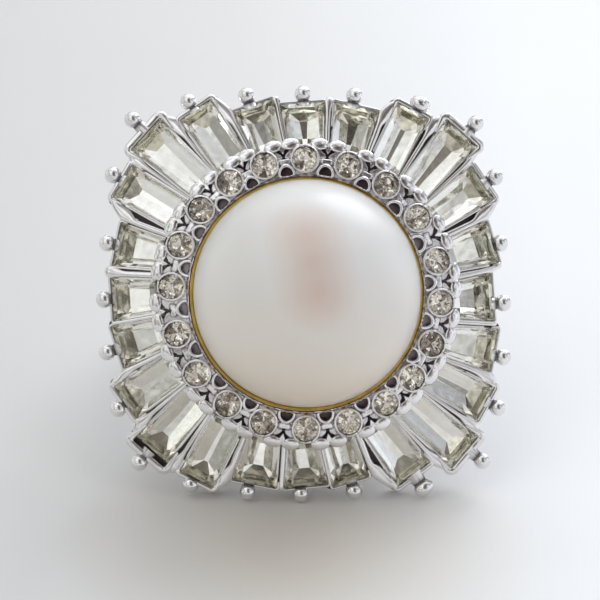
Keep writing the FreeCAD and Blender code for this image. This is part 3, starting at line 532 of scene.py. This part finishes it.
for k in range(20):
    a, g = mids[k], gaps[k]
    near = np.abs(wrap(T - a)) < 0.16
    ca, sa = math.cos(a), math.sin(a)
    s = (-X * sa + Y * ca) / g ** 0.7
    q = X * ca + Y * sa - 9.43
    # lipped recess: flat towards the pearl, round-nosed outward
    qq = q + 0.95
    f = np.where(qq < 0, (np.abs(s / 0.41) ** 4.0 + np.abs(qq / 0.14) ** 4.0) ** 0.25,
                 (np.abs(s / 0.41) ** 1.9 + np.abs(qq / 0.45) ** 1.9) ** (1 / 1.9))
    lip = base + 0.17 - np.abs((f - 1.27) / 0.27) ** 3.0 * 0.10 - step(f, 1.52, 1.68) * 1.5
    ridge = np.where(near, np.maximum(ridge, lip), ridge)
    hole = base - 0.40 + step(f, 0.86, 1.08) * 1.4
    hollow = np.where(near & (f < 1.12), np.minimum(hollow, hole), hollow)
    # flat plate between the seats, just outside their narrowest gap
    plate = base + 0.10 - np.clip((np.abs(s) - 0.34) / 0.08, 0, 9) * 0.2 - np.clip((np.abs(q + 0.10) - 0.15) / 0.07, 0, 9) * 0.2
    ridge = np.where(near, np.maximum(ridge, plate), ridge)
    # wedge-shaped hollow opening outward, its sides along the two seats; its darkness is painted shade
    w = 0.10 + np.clip(q - 0.05, 0, 9) * 0.50 + np.clip(q - 0.40, 0, 9) * 0.75
    wedge = base - 0.10 + np.clip((np.abs(s) - w) / 0.14, -1.3, 9) * 0.20 + step(q, 0.88, 1.0) * 2 + (1 - step(q, 0.03, 0.12)) * 2
    hollow = np.where(near & (q > -0.05) & (q < 1.0) & (np.abs(s) < 1.0), np.minimum(hollow, wedge), hollow)
    # a small bright tooth reaches into the wedge from between the two pads
    fork = base + 0.04 - np.clip((np.abs(s) - np.clip(q - 0.42, 0, 9) * 0.50) / 0.06, 0, 9) * 0.25 - np.clip((0.42 - q) / 0.05, 0, 9) - np.clip((q - 1.0) / 0.05, 0, 9)
    forks = np.where(near, np.maximum(forks, fork), forks)
pad_top = np.full_like(Z, -9.0)
for n, (c, k, sg) in enumerate(pads):
    near = np.abs(wrap(T - c)) < 0.09
    s = wrap(T - c) * R / (0.65 + 0.02 * unit_noise(n, 5))
    q = (R - (10.53 + 0.01 * unit_noise(n, 7))) / 0.42
    inside = 1 - np.abs(s) ** 2.3 - q * q
    dome = 16.20 - 0.36 * (R - 10.53) + 0.20 * np.clip(inside, 0, 1) ** 0.5 - np.where(inside < 0, 2.0, 0.0)
    pad_top = np.where(near, np.maximum(pad_top, dome), pad_top)
Z = smax(Z, ridge, 0.03)
Z = smin(Z, hollow, 0.03)
Z = smax(Z, forks, 0.02)
Z = smax(Z, seat_rim, 0.035)
Z = smax(Z, pad_top, 0.03)
Z = np.where(bowl < 50, np.minimum(Z, bowl), Z)
Z = Z + 0.006 * wave(X * 4.1, Y * 4.1, 0, 2.0)
rows = [np.stack([X[:, j], Y[:, j], Z[:, j]], 1) for j in range(NR)]
c, s = np.cos(theta), np.sin(theta)


def circle_row(r, z):
    r = np.broadcast_to(r, (NT,))
    return np.stack([r * c, r * s, np.full(NT, z)], 1)


edge_z = np.minimum(Z[:, -1] - 0.03, 16.08)
rim1 = np.stack([(r_out - 0.01) * c, (r_out - 0.01) * s, edge_z], 1)
rim2 = np.stack([(r_out - 0.10) * c, (r_out - 0.10) * s, np.full(NT, 15.93)], 1)
rows += [rim1, rim2, circle_row(10.16, 15.86), circle_row(10.1, 15.8), circle_row(10.1, 15.1), circle_row(RI, 15.1)]
verts = np.concatenate(rows)
n_rows = len(rows)
j = np.arange(NT)
jn = (j + 1) % NT
quads = []
for i in range(n_rows):
    i2 = (i + 1) % n_rows
    quads.append(np.stack([i * NT + j, i2 * NT + j, i2 * NT + jn, i * NT + jn], 1))
collar = make("collar_cast", verts, np.concatenate(quads), [SILVER_CAST], None, 50, ["halo_collar"])
outward(collar)
# painted shade with some tarnish, carried in the "hollow" attribute: the collar darkens in its recesses, more at the
# top and bottom of the ring than at its sides, less in the seat bowls, never on the pads
collar_tarnish_and_painted_shade = np.zeros(len(verts))
painted_shade_by_bearing = 0.70 + 0.30 * np.abs(np.sin(T))
on_pad = Z <= pad_top + 0.02
collar_tarnish_and_painted_shade[:NR * NT] = (np.where(on_pad, 0.0, step(base - Z, 0.15, 0.36)) * painted_shade_by_bearing * (1 - step(np.where(bowl < 50, 1.0, 0.0), 0.4, 0.6) * 0.4)).T.reshape(-1)
shade_hollows(collar, collar_tarnish_and_painted_shade)

# ------------------------------------------------------------------ pearl, cup and cement
steps = 192
prof = [(0.0, 15.7), (7.1, 15.7), (7.42, 15.76), (7.62, 16.0), (7.86, 16.5)]
n = 90
for i in range(n + 1):
    a = math.pi / 2 * i / n
    prof.append((7.93 * math.cos(a) if i < n else 0.0, 16.9 + 6.2 * math.sin(a)))
v, f = lathe(prof, steps)
v = np.asarray(v) + np.array([0.035, 0.05, 0.0])
pearl = make("pearl_dome", v, f, [PEARL], None, 180, ["pearl"])
outward(pearl)
lip = [(0.0, 15.1), (8.05, 15.1), (8.14, 15.2), (8.14, 17.0), (8.13, 17.05), (8.105, 17.085), (8.06, 17.095), (8.0, 17.075), (7.94, 17.03), (7.90, 16.97), (7.88, 16.9), (7.88, 15.55), (7.84, 15.5), (0.0, 15.5)]
v, f = lathe(lip, 256)
cup = make("cup_gold", v, f, [GOLD], None, 40, ["pearl_cup"])
outward(cup)

# ------------------------------------------------------------------ skirt casting
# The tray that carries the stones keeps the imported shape, cut down to the ledge the girdles rest on.
# Round-topped walls stand on it: one along every gap between two stones, and one round every outer end.
INFO = {}
for name, rad, bearing, heading, plan, wo, wi, reach, side in STONES:
    u = np.array([math.cos(math.radians(heading)), math.sin(math.radians(heading))])
    end = np.array([rad * math.cos(math.radians(bearing)), rad * math.sin(math.radians(bearing))])
    INFO[name] = dict(u=u, left=np.array([-u[1], u[0]]), end=end, inner=end - u * plan, wo=wo, wi=wi, plan=plan)


def side_point(name, sign, t, off=0.0):
    """Point on a stone's long side: t from 0 at the inner end to 1 at the outer end, pushed outward by off."""
    q = INFO[name]
    half = (q["wi"] + (q["wo"] - q["wi"]) * t) / 2 + off
    return q["inner"] + q["u"] * q["plan"] * t + q["left"] * (sign * half)


def side_at_radius(name, sign, r, off=0.0):
    lo, hi = -1.5, 2.0
    for _ in range(40):
        m = (lo + hi) / 2
        if np.hypot(*side_point(name, sign, m, off)) < r:
            lo = m
        else:
            hi = m
    return side_point(name, sign, lo, off)


FRAME_V, FRAME_F = [], []


def strip(path, halves, tops, bottom=0.95, squash=0.62, extend=True):
    """Adds one round-topped wall along a plan path, with its half-width and its height above the girdle cone at each station."""
    path = [np.asarray(p, float) for p in path]
    halves, tops = list(halves), list(tops)
    if extend:
        for end in (0, -1):
            p, q = (path[0], path[1]) if end == 0 else (path[-1], path[-2])
            d = (p - q) / np.hypot(*(p - q))
            w, z = halves[end], tops[end]
            extra = [(p + d * w * math.sin(a), w * math.cos(a), z - min(w, 0.2) * squash * (1 - math.cos(a))) for a in (0.5, 0.95, 1.3, 1.5)]
            if end == 0:
                extra = extra[::-1]
                path, halves, tops = [e[0] for e in extra] + path, [e[1] for e in extra] + halves, [e[2] for e in extra] + tops
            else:
                path, halves, tops = path + [e[0] for e in extra], halves + [e[1] for e in extra], tops + [e[2] for e in extra]
    n, m = len(path), 9
    first = len(FRAME_V)
    for i, p in enumerate(path):
        a, b = path[max(0, i - 1)], path[min(n - 1, i + 1)]
        t = (b - a) / max(1e-9, np.hypot(*(b - a)))
        nv = np.array([-t[1], t[0]])
        w, z = halves[i], tops[i]
        lift = min(w, 0.22) * squash
        ring = [(-w * 0.92, -bottom)] + [(w * math.sin(f), z - lift * (1 - math.cos(f))) for f in np.linspace(-math.pi / 2, math.pi / 2, m)] + [(w * 0.92, -bottom)]
        for off, h in ring:
            x, y = p + nv * off
            FRAME_V.append((x, y, cone_z(math.hypot(x, y), h)))
    c = m + 2
    for i in range(n - 1):
        for j in range(c):
            a, b = first + i * c + j, first + i * c + (j + 1) % c
            FRAME_F.append((a, b, b + c, a + c))
    FRAME_F.append(tuple(first + j for j in range(c))[::-1])
    FRAME_F.append(tuple(first + (n - 1) * c + j for j in range(c)))


names = [s_[0] for s_ in STONES]
LONG = ("045", "135", "225", "315")
MIDDLE = ("030", "060", "120", "150", "210", "240", "300", "330")
for i, a_name in enumerate(names):
    b_name = names[(i + 1) % 24]
    ra = np.hypot(*side_point(a_name, 1, 1.0))
    rb = np.hypot(*side_point(b_name, -1, 1.0))
    r_short, r_long = min(ra, rb), max(ra, rb)
    path, halves, tops = [], [], []
    widest = 0.15 if a_name in LONG or b_name in LONG else 0.22
    lean_to = -1.0 if INFO[a_name]["plan"] > INFO[b_name]["plan"] else 1.0
    for r in np.linspace(10.15, r_short + 0.05, 15):
        p, q = side_at_radius(a_name, 1, r), side_at_radius(b_name, -1, r)
        h = np.hypot(*(p - q)) / 2
        t = (r - 10.15) / (r_short - 10.1)
        w = min(max(h - (0.10 if widest < 0.2 else 0.06) - 0.09 * float(step(h, 0.18, 0.36)), 0.055), widest)
        shift = max(0.0, h - w - 0.05) * (0.15 if widest < 0.2 else 0.8)
        g_ = float(step(t, 0.72, 1.0)) * float(step(h, 0.30, 0.42))
        w = w + (min(h + 0.02, 0.46) - w) * g_
        shift *= 1 - g_
        away = (q - p) / max(1e-6, np.hypot(*(q - p)))
        path.append((p + q) / 2 + away * shift * (1.0 if lean_to < 0 else -1.0))
        halves.append(w)
        tops.append(0.06 + 0.12 * float(step(h, 0.14, 0.34)) - 0.06 * g_)
    long_name, sign = (a_name, 1) if lean_to < 0 else (b_name, -1)
    if r_long - r_short > 0.45:
        goal, last, wide = side_point(long_name, sign, 0.96, 0.20), path[-1], halves[-1]
        for f in (0.25, 0.5, 0.75, 1.0):
            bow = INFO[long_name]["u"] * 0.10 * math.sin(math.pi * f)
            path.append(last * (1 - f) + goal * f + bow)
            halves.append(wide * (1 - f) + 0.24 * f)
            tops.append(0.10)
    strip(path, halves, tops)
    run = [r for r in np.linspace(10.15, r_short - 0.1, 12) if np.hypot(*(side_at_radius(a_name, 1, r) - side_at_radius(b_name, -1, r))) > 0.62]
    if len(run) > 2 and widest > 0.2:
        strip([side_at_radius(long_name, sign, r, 0.09) for r in run], [0.075] * len(run), [0.07] * len(run))

for name in names:
    q = INFO[name]
    if name in LONG:
        w, off, top, run = 0.26, 0.05, 0.20, 0.20
    elif name in MIDDLE:
        w, off, top, run = 0.18, 0.03, 0.10, 0.16
    else:
        w, off, top, run = 0.09, 0.02, -0.06, 0.12
    o = off + w
    o_end = o + (0.34 if name == "225" else 0.0)
    pts = []
    c = 0.36 if name in LONG else 0.26 if name in MIDDLE else 0.16
    for sign in (-1, 1):
        along_side = [side_point(name, sign, 1.0 - run * f, off + 0.08 + (w - 0.08) * (1 - f)) + q["u"] * (o_end - c) * (1 - f) for f in np.linspace(1, 0, 6)]
        a0 = along_side[-1]
        inward = -q["left"] * sign
        arc = []
        cc = a0 + inward * c
        for g in np.linspace(0, math.pi / 2, 6)[1:]:
            arc.append(cc - inward * c * math.cos(g) + q["u"] * c * math.sin(g))
        pts.append(along_side + arc)
    path = pts[0] + [pts[0][-1] * (1 - f) + pts[1][-1] * f for f in np.linspace(0, 1, 8)[1:-1]] + pts[1][::-1]
    n = len(path)
    taper = [0.08 + (w - 0.08) * min(1.0, min(k_, n - 1 - k_) / 5.0) for k_ in range(n)]
    strip(path, taper, [top + 0.02 * math.sin(3.1 * k_ + len(name)) * (name in LONG) for k_ in range(n)])

tray = bpy.data.meshes.new("tray")
src = frame["nodes"]["baguette_frame"].data
co = np.zeros(len(src.vertices) * 3)
src.vertices.foreach_get("co", co)
inv = np.array(HEAD.inverted())
head = co.reshape(-1, 3) @ inv[:3, :3].T + inv[:3, 3]
rr = np.hypot(head[:, 0], head[:, 1])
level = (head[:, 2] - (15.0 - math.tan(TILT) * (rr - 11.0))) * math.cos(TILT)
low = (rr > 10.2) & (level > -0.5)
head[low, 2] = 15.0 - math.tan(TILT) * (rr[low] - 11.0) - 0.42 / math.cos(TILT)
polys = [tuple(p.vertices) for p in src.polygons]
base_n = len(FRAME_V)
all_v = np.concatenate([np.asarray(FRAME_V), head])
all_f = list(FRAME_F) + [tuple(v + base_n for v in p) for p in polys]
skirt = make("skirt_cast", all_v, all_f, [SILVER], None, 42, ["baguette_frame"])
rv = np.hypot(all_v[:, 0], all_v[:, 1])
lev = (all_v[:, 2] - (15.0 - math.tan(TILT) * (rv - 11.0))) * math.cos(TILT)
# painted shade with some tarnish, carried in the "hollow" attribute: the walls darken down their sides below their
# tops, and the cut-down tray between them is dark, where the gaps between the stones lie in shade
dark = np.where(np.arange(len(all_v)) < base_n, step(-lev, 0.02, 0.30) * (1 - step(-lev, 0.7, 0.9)), np.where(lev > -0.5, 1.0, 0.0)) * (rv > 10.0)
shade_hollows(skirt, dark)

# ------------------------------------------------------------------ ball pins
pin_v, pin_f, pin_neck_painted_shade = [], [], []
for k, (name, rad, bearing, heading, plan, wo, wi, reach, side) in enumerate(STONES):
    q = INFO[name]
    rim = rim_reach(name)
    foot = q["end"] + q["u"] * rim + q["left"] * side
    z = cone_z(math.hypot(*foot), 0.12) - 0.35
    d = reach - rim
    ball = 0.585
    neck = 0.40 if name in LONG else 0.37
    prof = [(0.0, -0.30)]
    for t in np.linspace(0, 1, 7):
        x = -0.30 + t * (max(d, 0.35) - 0.05)
        prof.append((neck + 0.20 * (1 - t) ** 1.5, x))
    a0 = math.asin(min(0.99, neck / ball))
    for g in np.linspace(math.pi - a0, 0, 20):
        prof.append((ball * math.sin(g) if g > 1e-6 else 0.0, d + ball * math.cos(g)))
    steps_n = 32
    v, f = lathe([p for p in prof if True], steps_n)
    v = np.asarray(v)
    stretch = 1.28 if name in ("060", "300") else 1.0 + 0.05 * unit_noise(k, 9)
    local = np.stack([v[:, 2], v[:, 0] * stretch, v[:, 1]], 1)
    # painted shade: a dark band where the neck meets the ball, and a faint darkening of the neck below it
    pin_neck_painted_shade += (1.0 * np.exp(-((v[:, 2] - (d - 0.50)) / 0.13) ** 2) + 0.15 * (v[:, 2] < d - 0.5)).tolist()
    m = Matrix.Translation((foot[0], foot[1], z)) @ rot_z(heading)
    pin_f += [tuple(i + len(pin_v) for i in face) for face in f]
    pin_v += place(m, local).tolist()
pins = make("pins_with_balls", pin_v, pin_f, [SILVER], None, 60, ["ball_pins"])
shade_hollows(pins, pin_neck_painted_shade)
outward(pins)

# ------------------------------------------------------------------ materials of the CAD pieces that stay
for node, mat in (("shank", SILVER_BAND), ("under_gallery", SILVER_BAND), ("cement_pad", CEMENT)):
    ob = frame["nodes"][node]
    ob.data.materials.clear()
    ob.data.materials.append(mat)

# ------------------------------------------------------------------ floor
m, nt, bsdf, _ = new_material("pale_floor")
vec = coords(nt, 1000.0)
mottle = noise(nt, vec, 0.02, 4.0, 0.55)
# painted light: the floor's colour brightens from left to right as if lit more strongly from the right
painted_light_gradient = ramp(nt, remap(nt, along(nt, vec, (1, 0, 0)), -21.0, 21.0, 0.0, 1.0), [(0.0, (0.735, 0.728, 0.715)), (0.45, (0.80, 0.795, 0.785)), (1.0, (0.97, 0.975, 0.985))])
tone = ramp(nt, mottle, [(0.3, (0.965, 0.96, 0.955)), (0.7, (1.0, 1.0, 1.0))])
# painted shadow: a soft warm-dark patch on the floor in front of the ring, towards the camera, where its shadow falls
painted_shadow_distance = nt.nodes.new("ShaderNodeVectorMath")
painted_shadow_distance.operation = "DISTANCE"
nt.links.new(vec, painted_shadow_distance.inputs[0])
painted_shadow_distance.inputs[1].default_value = (-1.0, -20.0, 0.0)
painted_shadow = ramp(nt, remap(nt, painted_shadow_distance.outputs["Value"], 2.0, 17.0, 0.0, 1.0), [(0.0, (0.84, 0.79, 0.725)), (0.5, (0.92, 0.895, 0.865)), (1.0, (1.0, 1.0, 1.0))])
mul = nt.nodes.new("ShaderNodeMix")
mul.data_type, mul.blend_type = "RGBA", "MULTIPLY"
mul.inputs["Factor"].default_value = 1.0
nt.links.new(tone, mul.inputs[6])
nt.links.new(painted_shadow, mul.inputs[7])
tone = mul.outputs[2]
mul = nt.nodes.new("ShaderNodeMix")
mul.data_type, mul.blend_type = "RGBA", "MULTIPLY"
mul.inputs["Factor"].default_value = 1.0
nt.links.new(painted_light_gradient, mul.inputs[6])
nt.links.new(tone, mul.inputs[7])
nt.links.new(mul.outputs[2], bsdf.inputs["Base Color"])
bsdf.inputs["Roughness"].default_value = 0.55
bsdf.inputs["IOR"].default_value = 1.4
bump(nt, bsdf, noise(nt, vec, 0.6, 5.0), 0.15, 0.02 * MM)
g = 24
pts = [(-1.5 + 3.0 * i / g, -1.2 + 4.2 * j / g, 0.0) for j in range(g + 1) for i in range(g + 1)]
fc = [(j * (g + 1) + i, j * (g + 1) + i + 1, (j + 1) * (g + 1) + i + 1, (j + 1) * (g + 1) + i) for j in range(g) for i in range(g)]
me = bpy.data.meshes.new("floor")
me.from_pydata(pts, [], fc)
me.materials.append(m)
floor = bpy.data.objects.new("floor", me)
SC.collection.objects.link(floor)

# ------------------------------------------------------------------ light
world = bpy.data.worlds.new("studio")
SC.world = world
world.use_nodes = True
nt = world.node_tree
nt.nodes.clear()
out = nt.nodes.new("ShaderNodeOutputWorld")
bg = nt.nodes.new("ShaderNodeBackground")
nt.links.new(bg.outputs[0], out.inputs[0])
tc = nt.nodes.new("ShaderNodeTexCoord")


def lobe_fac(direction, inner, outer):
    """1 inside inner degrees of a direction, 0 beyond outer degrees."""
    d = Vector(direction).normalized()
    dot = nt.nodes.new("ShaderNodeVectorMath")
    dot.operation = "DOT_PRODUCT"
    nrm = nt.nodes.new("ShaderNodeVectorMath")
    nrm.operation = "NORMALIZE"
    nt.links.new(tc.outputs["Generated"], nrm.inputs[0])
    nt.links.new(nrm.outputs[0], dot.inputs[0])
    dot.inputs[1].default_value = d
    r = nt.nodes.new("ShaderNodeMapRange")
    r.interpolation_type = "SMOOTHSTEP"
    r.inputs["From Min"].default_value = math.cos(math.radians(outer))
    r.inputs["From Max"].default_value = math.cos(math.radians(inner))
    nt.links.new(dot.outputs["Value"], r.inputs["Value"])
    return r.outputs["Result"]


def mix(base, colour, fac):
    m = nt.nodes.new("ShaderNodeMix")
    m.data_type = "RGBA"
    nt.links.new(fac, m.inputs["Factor"])
    nt.links.new(base, m.inputs[6])
    m.inputs[7].default_value = (*colour, 1.0)
    return m.outputs[2]


sep = nt.nodes.new("ShaderNodeSeparateXYZ")
nt.links.new(tc.outputs["Generated"], sep.inputs[0])
sky = ramp(nt, remap(nt, sep.outputs["Z"], -1, 1, 0, 1), [(0.0, (0.50, 0.48, 0.45)), (0.5, (0.66, 0.65, 0.64)), (0.75, (0.86, 0.87, 0.88)), (1.0, (0.92, 0.93, 0.95))])
col = mix(sky, (0.84, 0.86, 0.82), lobe_fac((-1, -0.2, 0.15), 20, 65))     # dim wall on the left
col = mix(col, (0.78, 0.82, 0.89), lobe_fac((1.0, 0.1, 0.3), 15, 60))      # cool daylight on the right
col = mix(col, (1.18, 1.25, 1.36), lobe_fac((0.06, 0.60, 0.80), 3, 30))
col = mix(col, (1.22, 1.30, 1.42), lobe_fac((0.38, 0.80, 0.42), 4, 44))    # window behind, upper right
col = mix(col, (0.15, 0.135, 0.12), lobe_fac((0.20, -0.60, 0.77), 10, 23))   # the room behind the camera
col = mix(col, (0.17, 0.15, 0.135), lobe_fac((0.16, -0.88, 0.46), 9, 21))
col = mix(col, (0.26, 0.235, 0.215), lobe_fac((0.08, -0.28, 0.95), 4, 15))
patches = noise(nt, tc.outputs["Generated"], 3.4, 2.0, 0.5)
gain = ramp(nt, patches, [(0.36, (0.36, 0.35, 0.34)), (0.48, (0.98, 0.98, 0.98)), (0.64, (1.45, 1.45, 1.45))])
mul = nt.nodes.new("ShaderNodeMix")
mul.data_type = "RGBA"
mul.blend_type = "MULTIPLY"
mul.inputs["Factor"].default_value = 1.0
nt.links.new(col, mul.inputs[6])
nt.links.new(gain, mul.inputs[7])
nt.links.new(mul.outputs[2], bg.inputs["Color"])
bg.inputs["Strength"].default_value = 0.96

SUN = bpy.data.lights.new("window", "AREA")
SUN.shape = "DISK"
SUN.size = 0.5
SUN.energy = 1.5
SUN.color = (0.97, 0.985, 1.0)
lamp = bpy.data.objects.new("window", SUN)
SC.collection.objects.link(lamp)
lamp.location = Vector((0.32, 0.42, 0.52))
lamp.rotation_mode = "QUATERNION"
lamp.rotation_quaternion = (Vector((0, 0, 0.01)) - lamp.location).to_track_quat("-Z", "Y")

# ------------------------------------------------------------------ camera
SCALE = 0.0701                      # millimetres of the head plane in one pixel
DIST = 350.0
left, above = math.radians(3.3732), math.radians(0.7454)
back = (XH * -math.sin(left) * math.cos(above) + YH * math.sin(above) + ZH * math.cos(left) * math.cos(above)).normalized()
right = YH.cross(back).normalized()
up = back.cross(right).normalized()
aim = HEAD @ Vector((0, 0, 14.2)) - right * (4.14 * SCALE * MM) - up * (6.31 * SCALE * MM)
cam_data = bpy.data.cameras.new("camera")
cam_data.sensor_width = 36.0
cam_data.lens = 36.0 * DIST / (600 * SCALE)
cam_data.clip_start, cam_data.clip_end = 0.01, 20.0
cam = bpy.data.objects.new("camera", cam_data)
SC.collection.objects.link(cam)
rot = Matrix((right, up, back)).transposed().to_4x4()
cam.matrix_world = Matrix.Translation(aim + back * (DIST * MM)) @ rot
SC.camera = cam

SC.view_settings.view_transform = "Standard"
SC.view_settings.look = "None"
SC.cycles.max_bounces = 16
SC.cycles.glossy_bounces = 12
SC.cycles.transmission_bounces = 12
SC.cycles.use_denoising = True
